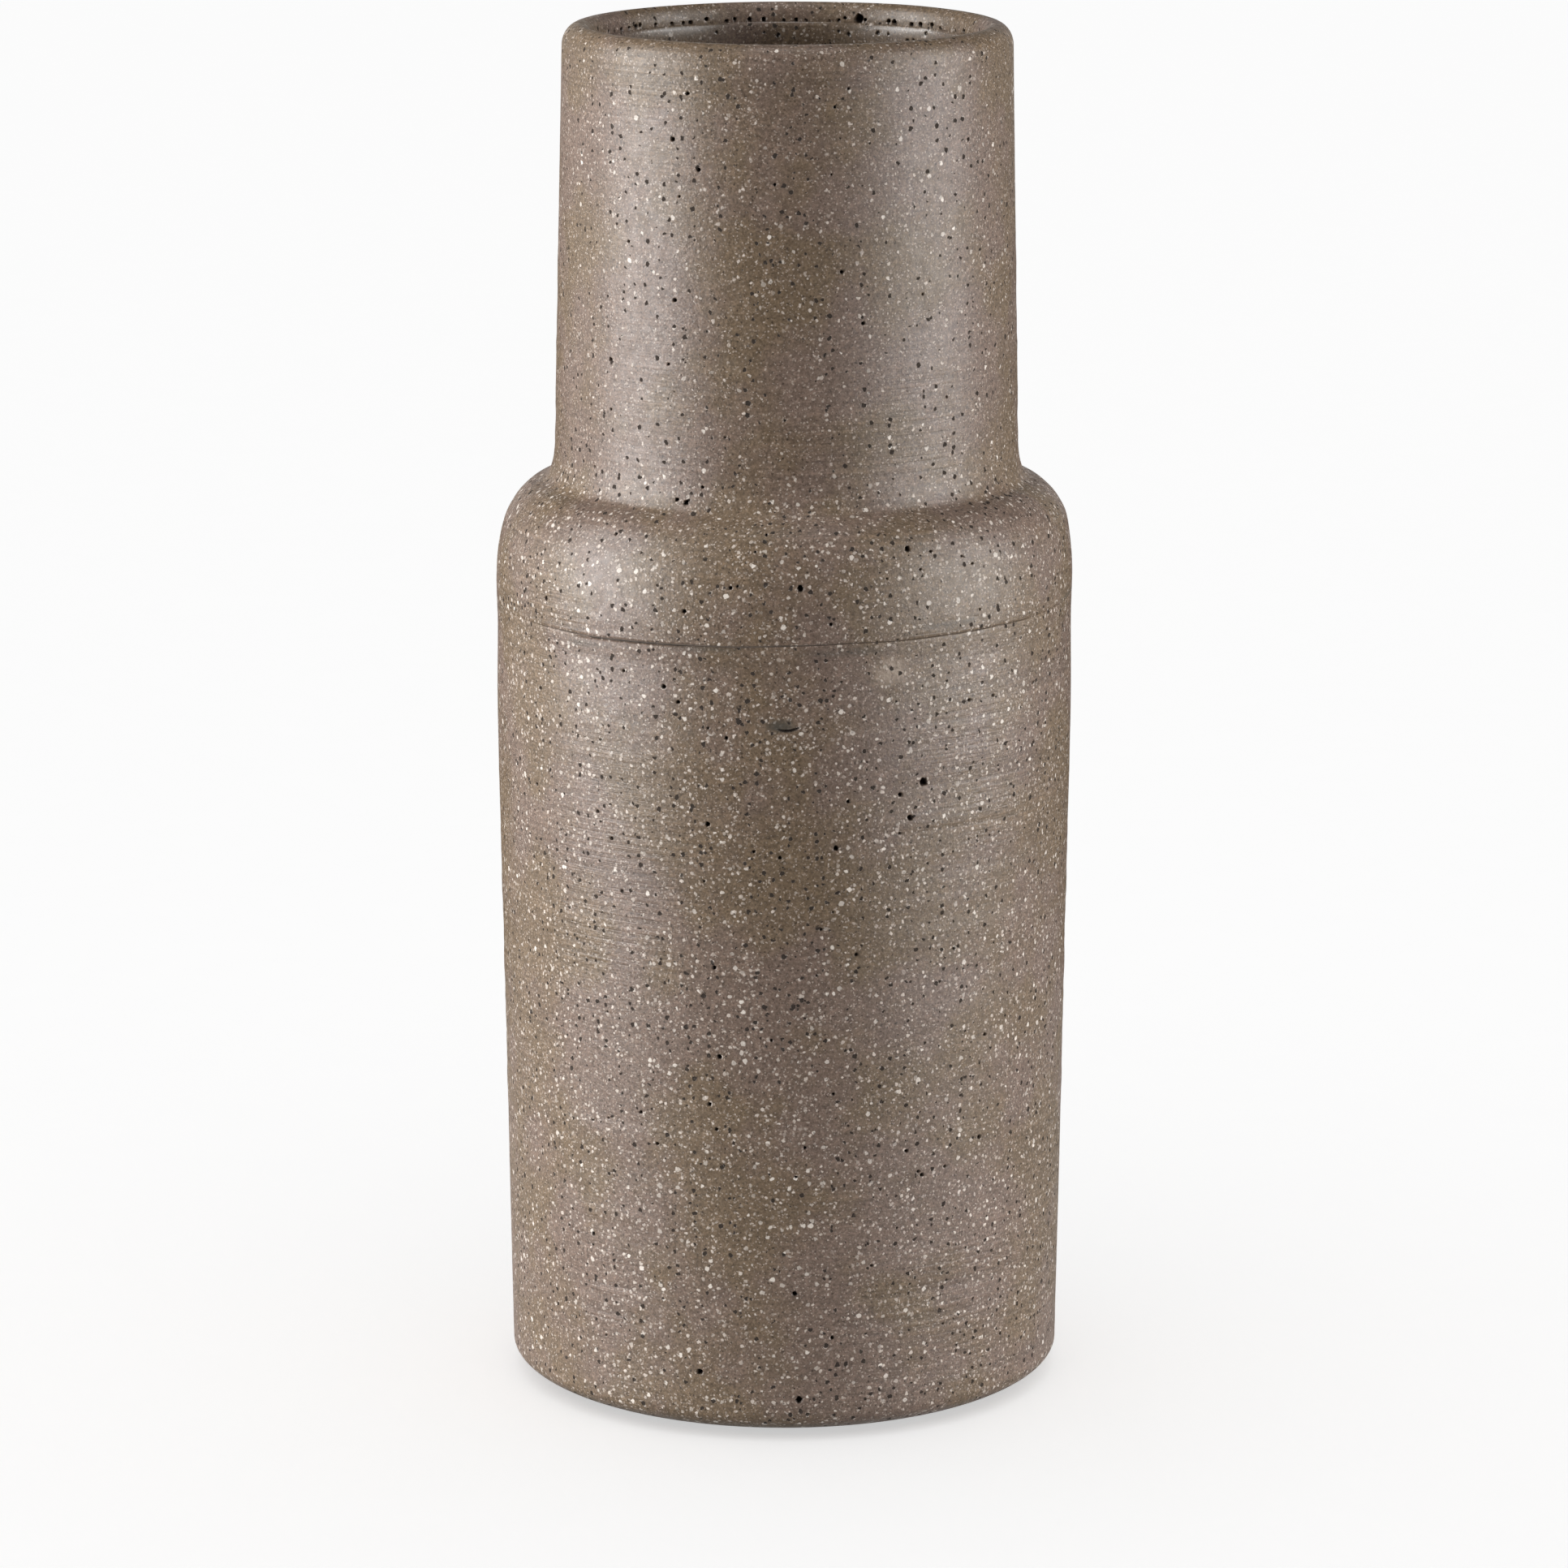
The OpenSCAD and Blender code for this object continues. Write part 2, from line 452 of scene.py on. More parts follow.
def tool_mark(angle, z):
    """A grey dent with a crescent cut along its lower edge, darkened with painted shadow."""
    cuts = 13
    marks = [Fault(angle - 1.6, z + 1.0, 8.6, 3.8, 0.18, "stain", 1.0)]
    for i in range(cuts):
        t = 2 * i / (cuts - 1) - 1
        size = 0.45 + 0.7 * (1 - t * t)
        cut_z = z + 0.25 * t + 0.6 * t * t
        # The cut is marked as pits, so the shader darkens it with painted shadow
        marks.append(Fault(angle + 2.2 * t, cut_z, size, 0.7 * size, 0.5 * size, "pit", 0.9))
    return marks


def dig(mesh, faults):
    """Cuts the faults into a bmesh, refining the faces round each pit, and marks the vertices in them."""
    layers = {name: mesh.verts.layers.float.new(name) for name in ("pit", "stain", "pale")}
    for _ in range(REFINE_PASSES):
        mesh.faces.ensure_lookup_table()
        centres = np.array([f.calc_center_median() for f in mesh.faces])
        sizes = np.array([f.calc_perimeter() / 4 for f in mesh.faces])
        picked = np.zeros(len(centres), bool)
        for fault in faults:
            if fault.mark == "pit":
                away = np.linalg.norm(centres - np.array(fault.centre), axis=1)
                picked |= away < fault.reach * REFINE_REACH + 0.5 * sizes
        edges = {e for i in np.nonzero(picked)[0] for e in mesh.faces[i].edges}
        edges = sorted(edges, key=lambda e: e.index)
        bmesh.ops.subdivide_edges(mesh, edges=edges, cuts=1, use_grid_fill=True)
        mesh.edges.index_update()
    mesh.verts.ensure_lookup_table()
    places = np.array([v.co for v in mesh.verts])
    for fault in faults:
        layer = layers[fault.mark]
        away = np.linalg.norm(places - np.array(fault.centre), axis=1)
        for i in np.nonzero(away < fault.reach * FAULT_REACH)[0]:
            vert = mesh.verts[i]
            share = fault.share(Vector(places[i]))
            vert.co += fault.inwards * fault.depth * (1 - smooth_step(share, FLAT_SHARE, 1.0))
            edge = SHARP_MARK if fault.mark == "pit" else SOFT_MARK
            vert[layer] = max(vert[layer], fault.strength * (1 - smooth_step(share, edge, MARK_END)))


def mesh_object(name, verts, faces, faults=()):
    """A smooth-shaded object, in metres, from vertices in millimetres."""
    data = bpy.data.meshes.new(name)
    data.from_pydata(verts, [], faces)
    mesh = bmesh.new()
    mesh.from_mesh(data)
    bmesh.ops.recalc_face_normals(mesh, faces=mesh.faces)
    if faults:
        dig(mesh, faults)
    bmesh.ops.scale(mesh, vec=(MM, MM, MM), verts=mesh.verts)
    mesh.to_mesh(data)
    mesh.free()
    data.shade_smooth()
    made = bpy.data.objects.new(name, data)
    bpy.context.scene.collection.objects.link(made)
    return made


# ---------------------------------------------------------------- the wall's small faults

# Lengths of the turning rings' waves up the wall, and how often the slower waves go round it
RING_LENGTHS = (3.4, 4.7, 6.3, 9.1, 14.0, 23.0)
WAVER_TURNS = (2, 3, 5, 8)

# Height over which the wall's unevenness grows from nothing at the foot
STEADY_H = 12


def rings(heights, seed):
    """Faint rings left by turning: a few waves of unlike length down the wall."""
    draw = random.Random(seed)
    total = np.zeros_like(heights)
    for length in RING_LENGTHS:
        size = 0.006 * length ** 0.6
        total += size * np.sin(2 * math.pi * heights / length + draw.uniform(0, 2 * math.pi))
    return total


def waver(angles, heights, seed):
    """Slow unevenness round the wall."""
    draw = random.Random(seed)
    total = np.zeros(np.broadcast_shapes(angles.shape, heights.shape))
    for turns in WAVER_TURNS:
        size = 0.14 / turns
        twist = draw.uniform(-0.01, 0.01)
        total = total + size * np.sin(turns * (angles + twist * heights) + draw.uniform(0, 2 * math.pi))
    return total


def wall_relief(angles, radii, heights):
    """How far the clay wall's surface stands out from the true outline, fading out towards the foot."""
    outside = radii > NECK_TOP_R - LIP_OUT_W
    fade = 0.55 + 0.45 * np.sin(2 * angles + heights * 0.05)
    shape = waver(angles, heights, WAVER_SEED) + fade * rings(heights, RINGS_SEED)
    return np.where(outside, shape * np.clip(heights / STEADY_H, 0, 1), 0)


# Large pits: angle, height and width. The first set is on the outside, and the second is on the neck's
# inside, just above the glaze. The first set comes from another program, which found the dark spots in
# the photo and placed them on the vase. Some were chosen and rounded. This is an open fault.
HERO_PITS = [
    (28, 145, 2.0), (3, 188, 1.7), (3, 9.5, 1.8), (-17.5, 15, 1.6), (25, 195, 1.4), (10, 132, 1.4),
    (25, 137.5, 1.4), (2, 33.5, 1.4), (-13, 86, 1.3), (-24.5, 203.5, 1.3), (-15, 137, 1.3),
    (-24, 166, 1.2), (43, 64, 1.2), (-29.5, 280, 1.2), (-48.5, 232, 1.1), (-54, 181, 1.2),
]
LIP_PITS = [(158, 296.8, 2.3), (146, 296.3, 1.4)]

# Grey smears of slip along the joint: angle, height, length and breadth
SMEARS = [
    (12, 174.3, 30, 2.6), (-15, 174.8, 22, 1.8), (34, 178.6, 20, 2.4), (-42, 173.2, 16, 2.0),
    (80, 177.4, 26, 2.2), (150, 176.8, 34, 2.4), (-130, 173.8, 24, 2.2), (-80, 174.6, 18, 1.8),
]

# Seeds of the random draws
WAVER_SEED = 4
RINGS_SEED = 7
BODY_PITS_SEED = 21
NECK_PITS_SEED = 22
SHOULDER_PITS_SEED = 23
LIP_PITS_SEED = 31
GLAZE_PITS_SEED = 32

# Numbers of random pin holes, and their smallest and largest widths
BODY_PITS = 170
SHOULDER_PITS = 65
NECK_PITS = 50
GLAZE_PITS = 110
PIT_SMALL = 0.6
PIT_BIG = 1.1


def scattered_pits(count, low, high, seed):
    """Pin holes at random places on the outside between two heights."""
    draw = random.Random(seed)
    return [pit(draw.uniform(0, 360), draw.uniform(low, high), draw.uniform(PIT_SMALL, PIT_BIG))
            for _ in range(count)]


def hero_pits(low, high):
    """The larger pits that stand out, between two heights."""
    return [pit(angle, z, width) for angle, z, width in HERO_PITS if low < z < high]


def joint_stains(low, high):
    """The grey smears of slip along the joint, between two heights."""
    return [Fault(angle, z, length, breadth, mark="stain", strength=0.55)
            for angle, z, length, breadth in SMEARS if low < z < high]


def lip_pits():
    """Pin holes in a chain round the inside, where the lip starts to turn over, and two large ones."""
    draw = random.Random(LIP_PITS_SEED)
    chain = []
    angle = 0.0
    while angle < 360:
        z = HEIGHT - LIP_IN_H + draw.uniform(-0.2, 0.6)
        chain.append(pit(angle, z, draw.uniform(0.7, 1.3), inside=0.0))
        angle += draw.uniform(1.8, 8.0)
    return chain + [pit(angle, z, width, inside=0.0) for angle, z, width in LIP_PITS]


def glaze_pits():
    """Pin holes scattered in the glaze below the lip."""
    draw = random.Random(GLAZE_PITS_SEED)
    made = []
    for _ in range(GLAZE_PITS):
        angle = draw.uniform(0, 360)
        z = GLAZE_HIGH - draw.uniform(1.2, 10)
        made.append(pit(angle, z, draw.uniform(0.6, 1.2), inside=GLAZE_T))
    return made


# ---------------------------------------------------------------- pieces

def lower_wall():
    """The lower section, from the foot to the joint."""
    top = JOINT_Z - SLIP_T / 2
    foot = arc(FOOT_R - FOOT_ROUND_W, FOOT_ROUND_H, FOOT_ROUND_W, FOOT_ROUND_H, -90, 0, FOOT_STEPS)
    wall = spaced([(FOOT_R, FOOT_ROUND_H), (body_r(top - 0.5), top - 0.5)], FINE)
    edge = [(body_r(top) - 0.01, top - CHAMFER_H), (body_r(top) - CHAMFER_W, top)]
    inside = spaced(inside_lower(WALL_T, 0)[::-1], COARSE)
    outline = (spaced(underside(), COARSE)[:-1] + foot + wall[1:] + edge
               + joint_face(-SLIP_T / 2) + inside)
    faults = hero_pits(0, top - 1) + scattered_pits(BODY_PITS, 8, top - 2, BODY_PITS_SEED)
    faults += tool_mark(0.8, 157.6) + joint_stains(0, top)
    smudge = Fault(21, 169.8, 10.0, 7.0, mark="pale")
    faults.append(smudge)
    return mesh_object("lower_wall", *lathe(outline, wall_relief), faults)


def upper_wall():
    """The upper section: shoulder, neck and lip."""
    bottom = JOINT_Z + SLIP_T / 2
    edge = [(body_r(bottom) - CHAMFER_W, bottom), (body_r(bottom) - 0.01, bottom + CHAMFER_H)]
    flare = flare_line()
    shoulder = softened(spaced(shoulder_line() + flare[1:], CREASE_FINE), CREASE_PASSES)
    neck = spaced([flare[-1], (NECK_TOP_R, HEIGHT - LIP_OUT_H)], FINE)
    lip = spaced(lip_line(), LIP_FINE)
    inside = spaced(inside_upper(WALL_T, 0)[::-1], COARSE)
    neck_inside = spaced([lip[-1], inside[0]], COARSE)
    outline = (edge + shoulder + neck[1:] + lip[1:] + neck_inside[1:] + inside[1:]
               + joint_face(SLIP_T / 2)[::-1])
    neck_from = CREASE_Z + 4
    faults = hero_pits(bottom + 1, HEIGHT - 5)
    faults += scattered_pits(SHOULDER_PITS, bottom + 2, neck_from, SHOULDER_PITS_SEED)
    faults += scattered_pits(NECK_PITS, neck_from, HEIGHT - 6, NECK_PITS_SEED)
    faults += joint_stains(bottom, CREASE_Z) + lip_pits()
    return mesh_object("upper_wall", *lathe(outline, wall_relief), faults)


def slip_ring():
    """The slip in the joint, whose edge is the fine line round the vase."""
    outer = inside_r(0, JOINT_Z) - SLIP_INSET
    low = [(outer, JOINT_Z - SLIP_T / 2)] + joint_face(-SLIP_T / 2)
    high = [(outer, JOINT_Z + SLIP_T / 2)] + joint_face(SLIP_T / 2)
    outline = low + high[::-1]
    return mesh_object("slip_ring", *lathe(outline))


def glaze_liner():
    """The glaze inside, from the floor to just below the lip."""
    depth = WALL_T + GLAZE_T
    front = spaced(inside_lower(depth, 1) + inside_upper(depth, 1), GLAZE_FINE)
    back = spaced((inside_lower(WALL_T, 1) + inside_upper(WALL_T, 1))[::-1], GLAZE_FINE)
    top = GLAZE_HIGH
    fine_from = top - 12
    taper_from = top - GLAZE_TAPER
    rise = spaced([front[-1], (neck_r(fine_from) - depth, fine_from)], 3.0)
    rise += spaced([rise[-1], (neck_r(taper_from) - depth, taper_from)], FINE)[1:]
    wall_r = neck_r(top) - WALL_T
    tip = [(wall_r - 0.6 * GLAZE_T, top - 0.4 * GLAZE_TAPER), (wall_r - 0.05, top), (wall_r, top)]
    outline = front + rise[1:] + tip + back
    return mesh_object("glaze_liner", *lathe(outline), glaze_pits())


# ---------------------------------------------------------------- materials

class Shader:
    """One node material. add() makes a node, sets it up and links it, and returns one of its outputs."""

    def __init__(self, name):
        self.material = bpy.data.materials.new(name)
        self.material.use_nodes = True
        self.nodes = self.material.node_tree.nodes
        self.links = self.material.node_tree.links
        self.surface = self.nodes["Principled BSDF"]
        self.place = self.add("ShaderNodeTexCoord").node.outputs["Object"]

    def add(self, kind, inputs=None, output=0, **settings):
        made = self.nodes.new(kind)
        for name, value in settings.items():
            setattr(made, name, value)
        for name, value in (inputs or {}).items():
            self.set(made.inputs[name], value)
        return made.outputs[output]

    def set(self, socket, value):
        if isinstance(value, bpy.types.NodeSocket):
            self.links.new(value, socket)
        else:
            socket.default_value = value

    def math(self, operation, a, b=0.0, c=0.0):
        return self.add("ShaderNodeMath", {0: a, 1: b, 2: c}, operation=operation)

    def span(self, value, low, high, to_low=0.0, to_high=1.0, kind="SMOOTHSTEP"):
        ends = {"From Min": low, "From Max": high, "To Min": to_low, "To Max": to_high}
        return self.add("ShaderNodeMapRange", {"Value": value, **ends}, interpolation_type=kind)

    def noise(self, scale, detail=2.0, roughness=0.5, place=None):
        looks = {"Scale": scale, "Detail": detail, "Roughness": roughness}
        return self.add("ShaderNodeTexNoise", {"Vector": place or self.place, **looks})

    def attribute(self, name):
        return self.add("ShaderNodeAttribute", attribute_name=name, output=2)

    def bump(self, height, strength=1.0):
        made = self.add("ShaderNodeBump", {"Height": height, "Distance": 1.0, "Strength": strength})
        self.set(self.surface.inputs["Normal"], made)

    def mix(self, share, a, b, blend="MIX"):
        made = self.nodes.new("ShaderNodeMix")
        made.data_type = "RGBA"
        made.blend_type = blend
        self.set(made.inputs[0], share)
        self.set(made.inputs[6], a)
        self.set(made.inputs[7], b)
        return made.outputs[2]


# One size of grain in the clay, in millimetres: the spacing of its cells, its smallest and largest
# radius, how much of the radius its soft edge takes up, and the share of cells that hold a grain.
# Each size has its own spacing, because two sizes with the same spacing would lie in the same places.
Grain = namedtuple("Grain", "cell small large edge share")
FINE_GRAIN = Grain(0.62, 0.15, 0.29, 0.3, 0.70)
MIDDLE_GRAIN = Grain(1.15, 0.27, 0.52, 0.4, 0.72)
LARGE_GRAIN = Grain(2.05, 0.40, 0.68, 0.3, 0.23)
# HOLE makes small pin holes in the shader, dented by the bump and darkened with painted shade
HOLE = Grain(1.9, 0.30, 0.56, 0.12, 1.0)
CRUMB = Grain(0.8, 0.14, 0.29, 0.2, 0.55)


def specks(shader, place, grain, among=1.0):
    """Grains scattered through the clay: their mask, from 0 to 1, and a random value for each grain.

    among thins them out: the grain's share is multiplied by it."""
    grid = shader.nodes.new("ShaderNodeTexVoronoi")
    shader.set(grid.inputs["Vector"], place)
    grid.inputs["Scale"].default_value = 1 / (grain.cell * MM)
    parts = shader.add("ShaderNodeSeparateColor", {"Color": grid.outputs["Color"]}).node.outputs
    radius = shader.span(parts["Red"], 0, 1, grain.small / grain.cell, grain.large / grain.cell, "LINEAR")
    ball = shader.math("SUBTRACT", 1.0, shader.math("DIVIDE", grid.outputs["Distance"], radius))
    mask = shader.span(ball, 0.0, grain.edge)
    share = shader.math("MULTIPLY", among, grain.share)
    chosen = shader.math("LESS_THAN", parts["Green"], share)
    return shader.math("MULTIPLY", mask, chosen), parts["Blue"]


def uneven_strength(shader, grains, low, high):
    """The mask of some specks, each made weaker by its own random amount."""
    mask, random_value = grains
    return shader.math("MULTIPLY", mask, shader.span(random_value, 0, 1, low, high, "LINEAR"))


def shade(colour, tone=1.0):
    """A colour made lighter or darker."""
    return (*[c * tone for c in colour], 1)


# Colours: the clay's two browns, its pale grains (grog), the marks on it, the slip and the floor
OLIVE = (0.172, 0.122, 0.079)
MAUVE = (0.187, 0.133, 0.104)
GROG_DULL = (0.50, 0.415, 0.35)
GROG = (0.68, 0.59, 0.515)
GROG_BRIGHT = (0.83, 0.75, 0.67)
# Painted shade: the near-black that fills the pin holes and the tool mark's cut. The small crumbs take
# the same colour.
CRUMB_AND_PIT_SHADE = (0.020, 0.013, 0.009)
STAIN = (0.070, 0.068, 0.058)
SMUDGE = (0.37, 0.29, 0.22)
SLIP_DARK = (0.100, 0.080, 0.065)
SLIP_PALE = (0.180, 0.143, 0.116)
FLOOR_GREY = (0.80, 0.80, 0.80)
FLOOR_PALE = (0.82, 0.82, 0.82)

# Noise scales, per metre: patches of the two browns, clouds, grit and mottle, and the turning lines,
# which are fine up the wall and long round it
PATCHES = 42.0
CLOUDS = 240.0
GRIT = 950.0
MOTTLE = 2000.0
LINES_UP = 1300.0
LINES_ROUND = 9.0

# Depth of the bumps, in millimetres
LINES_D = 0.02
STRONG_LINES_D = 0.11
TOOTH_D = 0.10
GRAIN_D = 0.04
HOLE_D = 0.35


def wavering_place(s):
    """Where a point lies, shifted a little by noise, so that the grains aren't perfect balls."""
    shift = s.add("ShaderNodeTexNoise", {"Vector": s.place, "Scale": 1300.0, "Detail": 1.0}, output=1)
    shift = s.add("ShaderNodeVectorMath", {0: shift, 1: (0.5, 0.5, 0.5)}, operation="SUBTRACT")
    shift = s.add("ShaderNodeVectorMath", {0: shift, "Scale": 0.8 * MM}, operation="SCALE")
    return s.add("ShaderNodeVectorMath", {0: s.place, 1: shift}, operation="ADD")


def turning_lines(s, parts):
    """Fine lines drawn round the wall by turning, and where they are strong, both from 0 to 1."""
    drawn = s.add("ShaderNodeCombineXYZ", {"X": s.math("MULTIPLY", parts["X"], LINES_ROUND),
                                           "Y": s.math("MULTIPLY", parts["Y"], LINES_ROUND),
                                           "Z": s.math("MULTIPLY", parts["Z"], LINES_UP)})
    return s.noise(1.0, 2.0, 0.6, drawn), s.span(s.noise(16.0), 0.42, 0.62)


def bare_clay(s, tone, lines, where):
    """The clay's colour: patches of two browns, broken up by mottle, clouds and grit, with painted light
    and shade along the turning lines.
    """
    patches = s.span(s.noise(PATCHES, 3.0, 0.55), 0.40, 0.60)
    colour = s.mix(patches, shade(OLIVE, tone), shade(MAUVE, tone))
    mottle = s.span(s.noise(MOTTLE, 3.0, 0.7), 0.25, 0.75, 0.45, 1.55, "LINEAR")
    cloud = s.span(s.noise(CLOUDS, 3.0, 0.6), 0.25, 0.75, 0.90, 1.10, "LINEAR")
    grit = s.span(s.noise(GRIT, 2.0, 0.6), 0.3, 0.7, 0.80, 1.20, "LINEAR")
    # Painted light and shade: the colour is lightened and darkened along the turning lines, where they
    # are strong
    ring_shading = s.span(lines, 0.3, 0.7, -0.16, 0.16, "LINEAR")
    ring_shading = s.math("MULTIPLY_ADD", ring_shading, where, 1.0)
    tones = s.math("MULTIPLY", s.math("MULTIPLY", mottle, cloud), s.math("MULTIPLY", grit, ring_shading))
    return s.mix(1.0, colour, tones, "MULTIPLY")


def clay(name, tone=1.0, glazed=False):
    """Speckled stoneware: brown-grey clay with pale grog, pin holes darkened with painted shade, and
    faint turning lines with painted light and shade along them.
    """
    s = Shader(name)
    parts = s.add("ShaderNodeSeparateXYZ", {"Vector": s.place}).node.outputs
    lines, where = turning_lines(s, parts)
    colour = bare_clay(s, tone, lines, where)

    # The neck has fewer grains than the body, and both have them in loose crowds
    place = wavering_place(s)
    fewer = s.span(parts["Z"], (CREASE_Z - 4) * MM, (CREASE_Z + 12) * MM, 1.0, 0.34)
    crowd = s.math("MULTIPLY", s.span(s.noise(70.0, 2.0), 0.3, 0.7, 0.55, 1.0), fewer)
    pitted = s.span(s.noise(60.0, 2.0), 0.3, 0.7, 0.26, 0.70)
    pitted = s.math("MULTIPLY", pitted, s.math("MULTIPLY_ADD", fewer, 0.3, 0.7))
    middle = specks(s, place, MIDDLE_GRAIN, crowd)
    holes, _ = specks(s, place, HOLE, pitted)
    fine_share = uneven_strength(s, specks(s, place, FINE_GRAIN), 0.15, 0.90)
    middle_share = uneven_strength(s, middle, 0.15, 1.0)
    large_share = uneven_strength(s, specks(s, place, LARGE_GRAIN, fewer), 0.3, 1.0)
    crumb_share = uneven_strength(s, specks(s, place, CRUMB), 0.1, 0.75)
    colour = s.mix(fine_share, colour, shade(GROG_DULL, tone))
    colour = s.mix(middle_share, colour, shade(GROG, tone))
    colour = s.mix(large_share, colour, shade(GROG_BRIGHT, tone))
    colour = s.mix(crumb_share, colour, shade(CRUMB_AND_PIT_SHADE))

    # The faults in the mesh: pale smudge, grey stains, and pits whose darkness is painted shade
    rubbed = s.span(s.noise(650.0, 3.0, 0.6), 0.30, 0.52)
    colour = s.mix(s.math("MULTIPLY", s.attribute("pale"), rubbed), colour, shade(SMUDGE))
    colour = s.mix(s.math("MULTIPLY", s.attribute("stain"), 0.75), colour, shade(STAIN))
    # Painted shade: the pin holes, those cut in the mesh and the small ones drawn by the shader, are
    # darkened to near-black
    pit_shade = s.math("MAXIMUM", s.math("MULTIPLY", holes, 0.92), s.attribute("pit"))
    colour = s.mix(pit_shade, colour, shade(CRUMB_AND_PIT_SHADE))
    s.set(s.surface.inputs["Base Color"], colour)

    line_depth = s.math("MULTIPLY_ADD", where, STRONG_LINES_D * MM, LINES_D * MM)
    height = s.math("MULTIPLY", lines, line_depth)
    height = s.math("ADD", height, s.math("MULTIPLY", s.noise(1100.0, 3.0, 0.6), TOOTH_D * MM))
    height = s.math("ADD", height, s.math("MULTIPLY", middle[0], GRAIN_D * MM))
    height = s.math("SUBTRACT", height, s.math("MULTIPLY", holes, HOLE_D * MM))
    s.bump(height, 0.4 if glazed else 1.0)
    rough = s.span(s.noise(420.0, 2.0), 0.3, 0.7, 0.32, 0.46)
    s.set(s.surface.inputs["Roughness"], s.math("MAXIMUM", rough, pit_shade))
    if glazed:
        s.surface.inputs["Coat Weight"].default_value = 0.7
        s.surface.inputs["Coat Roughness"].default_value = 0.25
    return s.material


def slip_clay():
    """The darker, smoother slip in the joint."""
    s = Shader("slip_clay")
    tone = s.span(s.noise(300.0, 3.0, 0.6), 0.3, 0.7)
    s.set(s.surface.inputs["Base Color"], s.mix(tone, shade(SLIP_DARK), shade(SLIP_PALE)))
    s.bump(s.math("MULTIPLY", s.noise(1500.0, 3.0), 0.05 * MM))
    s.surface.inputs["Roughness"].default_value = 0.8
    return s.material


def studio_white():
    """The pale floor, lit a little from below like a light table, so that its shadows stay soft."""
    s = Shader("studio_white")
    colour = s.mix(s.noise(60.0, 3.0, 0.6), shade(FLOOR_GREY), shade(FLOOR_PALE))
    s.set(s.surface.inputs["Base Color"], colour)
    s.surface.inputs["Roughness"].default_value = 0.9
    s.surface.inputs["Specular IOR Level"].default_value = 0.1
    s.surface.inputs["Emission Color"].default_value = (1, 1, 1, 1)
    s.surface.inputs["Emission Strength"].default_value = FLOOR_GLOW
    return s.material


# ---------------------------------------------------------------- stage, lights and camera

# The middle of the vase, which the softboxes face
LOOK_AT = Vector((0, 0, 0.15))

# The floor runs this far each way. It is lit from above and glows a little.
FLOOR_REACH = 12.0
FLOOR_LIGHT = 1.65
FLOOR_LIGHT_ANGLE = math.radians(100)
FLOOR_GLOW = 0.55

# Brightness of the surround behind the floor
PALE = 0.97

# A panel just above the floor stands for the light that a table throws back up
BOUNCE_SIZE = 0.6
BOUNCE_POWER = 0.28

# The camera's place, how far it looks down from level, in radians, and its lens and sensor, in
# millimetres
CAMERA_PLACE = (-0.0001, -1.3883, 0.4440)
CAMERA_PITCH = 0.221
CAMERA_LENS = 147.94
CAMERA_SENSOR = 36

# Name, azimuth and elevation seen from the vase, distance, width, height and power
SOFTBOXES = [
    ("left_softbox", -76, 10, 2.0, 1.66, 1.07, 47),
    ("left_upper", -84, 38, 2.0, 1.10, 0.90, 19),
    ("left_rim", -125, 0, 2.0, 0.80, 1.20, 2.4),
    ("left_card", -71, -7, 0.8, 0.70, 0.10, 2.0),
    ("right_softbox", 75, 10, 2.0, 1.66, 1.07, 29),
    ("right_upper", 76, 38, 2.0, 1.40, 0.90, 11),
    ("right_rim", 128, -5, 2.0, 0.80, 1.00, 0.8),
    ("right_card", 68, -7, 0.8, 1.10, 0.10, 2.4),
    ("back_fill", 180, 12, 2.0, 2.60, 1.10, 3),
    ("overhead", 0, 90, 1.5, 0.50, 0.50, 1.8),
]


def floor():
    """A plain pale floor that the camera sees, and that throws no light back on the vase."""
    corners = [(-1, -1), (1, -1), (1, 1), (-1, 1)]
    data = bpy.data.meshes.new("floor")
    data.from_pydata([(FLOOR_REACH * x, FLOOR_REACH * y, 0) for x, y in corners], [], [(0, 1, 2, 3)])
    data.materials.append(studio_white())
    made = bpy.data.objects.new("floor", data)
    made.visible_diffuse = False
    made.visible_glossy = False
    bpy.context.scene.collection.objects.link(made)
    return made


def lit_only(light, objects):
    """Makes a light fall on these objects alone."""
    group = bpy.data.collections.new(light.name + "_lights")
    for lit in objects:
        group.objects.link(lit)
    light.light_linking.receiver_collection = group


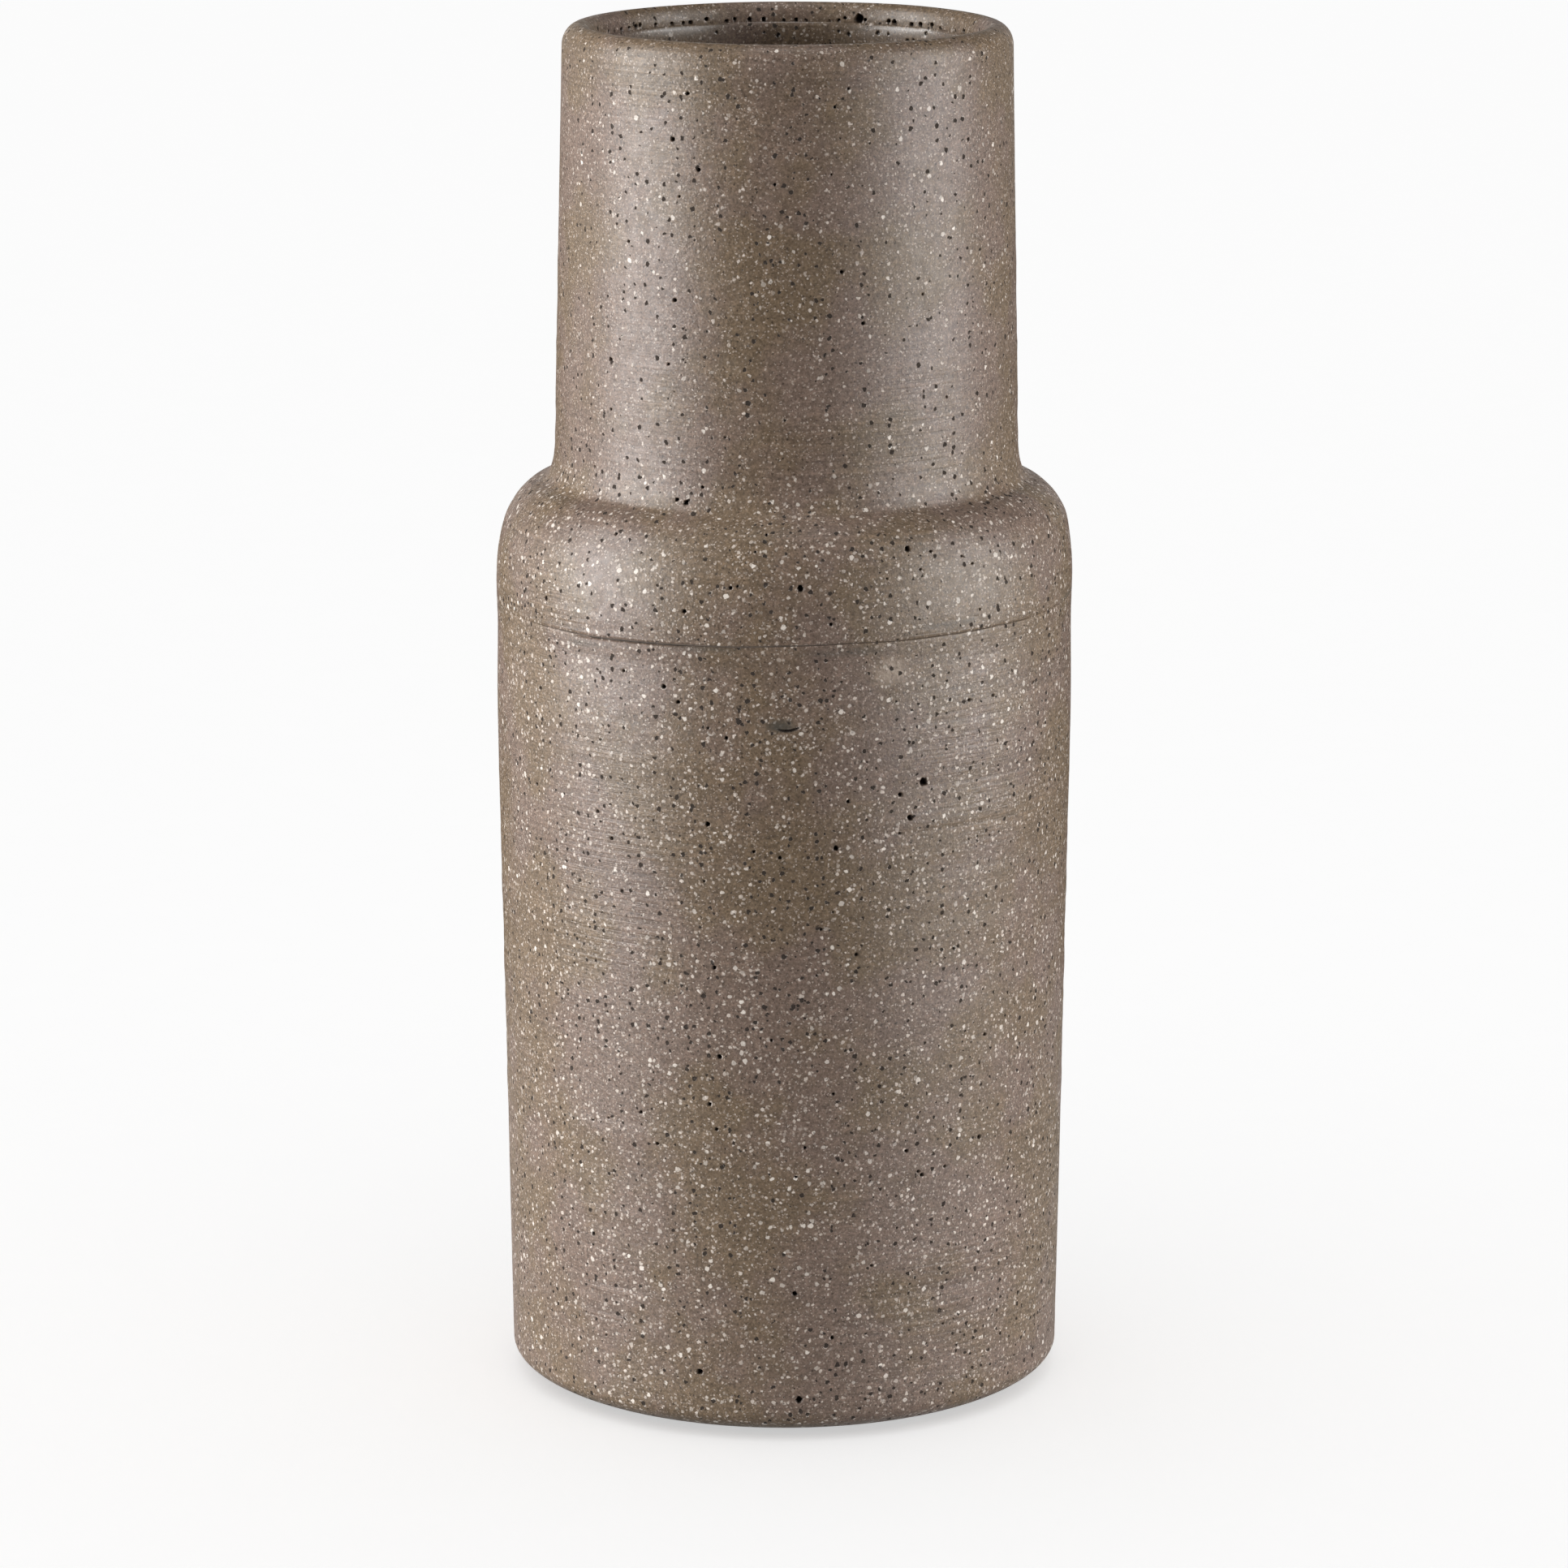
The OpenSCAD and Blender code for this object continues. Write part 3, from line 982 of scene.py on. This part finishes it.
def softbox(name, azimuth, elevation, distance, width, height, power):
    """A soft light panel that faces the vase. Azimuth 0 is on the camera's side and 90 is at +X."""
    data = bpy.data.lights.new(name, "AREA")
    data.shape = "RECTANGLE"
    data.size = width
    data.size_y = height
    data.energy = power
    made = bpy.data.objects.new(name, data)
    a = math.radians(azimuth)
    e = math.radians(elevation)
    out = Vector((math.sin(a) * math.cos(e), -math.cos(a) * math.cos(e), math.sin(e)))
    made.location = LOOK_AT + out * distance
    made.rotation_euler = out.to_track_quat("Z", "Y").to_euler()
    made.visible_camera = False
    bpy.context.scene.collection.objects.link(made)
    return made


def lights(pieces, ground):
    """Softboxes round the vase, the table's bounce, and an even light from above on the floor."""
    for box in SOFTBOXES:
        lit_only(softbox(*box), pieces)
    bounce = softbox("table_bounce", 0, -90, LOOK_AT.z - 0.001, BOUNCE_SIZE, BOUNCE_SIZE, BOUNCE_POWER)
    lit_only(bounce, pieces)
    data = bpy.data.lights.new("floor_light", "SUN")
    data.energy = FLOOR_LIGHT
    data.angle = FLOOR_LIGHT_ANGLE
    above = bpy.data.objects.new("floor_light", data)
    bpy.context.scene.collection.objects.link(above)
    lit_only(above, [ground])
    world = bpy.data.worlds.new("surround")
    world.use_nodes = True
    world.node_tree.nodes["Background"].inputs["Color"].default_value = (PALE, PALE, PALE, 1)
    world.cycles_visibility.diffuse = False
    world.cycles_visibility.glossy = False
    bpy.context.scene.world = world
    bpy.context.scene.view_settings.view_transform = "Standard"


def camera():
    """The camera at the angle that the vase is seen from."""
    data = bpy.data.cameras.new("camera")
    data.sensor_width = CAMERA_SENSOR
    data.lens = CAMERA_LENS
    made = bpy.data.objects.new("camera", data)
    made.location = CAMERA_PLACE
    made.rotation_euler = (math.pi / 2 - CAMERA_PITCH, 0, 0)
    bpy.context.scene.collection.objects.link(made)
    bpy.context.scene.camera = made


# ---------------------------------------------------------------- putting it together

camera()
ground = floor()

clay_material = clay("speckled_clay")
PIECES = [
    (lower_wall(), "lower_section", "clay", clay_material),
    (upper_wall(), "upper_section", "clay", clay_material),
    (slip_ring(), "luting_slip", "slip", slip_clay()),
    (glaze_liner(), "inner_glaze", "inner_glaze", clay("glazed_clay", 0.85, glazed=True)),
]
for piece, node, slot, material in PIECES:
    piece.data.materials.append(material)
    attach(piece, "root")
    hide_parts(node)

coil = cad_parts["joint_coil"]
for slot in coil.material_slots:
    slot.material = clay_material

lights([piece for piece, _, _, _ in PIECES] + [coil], ground)
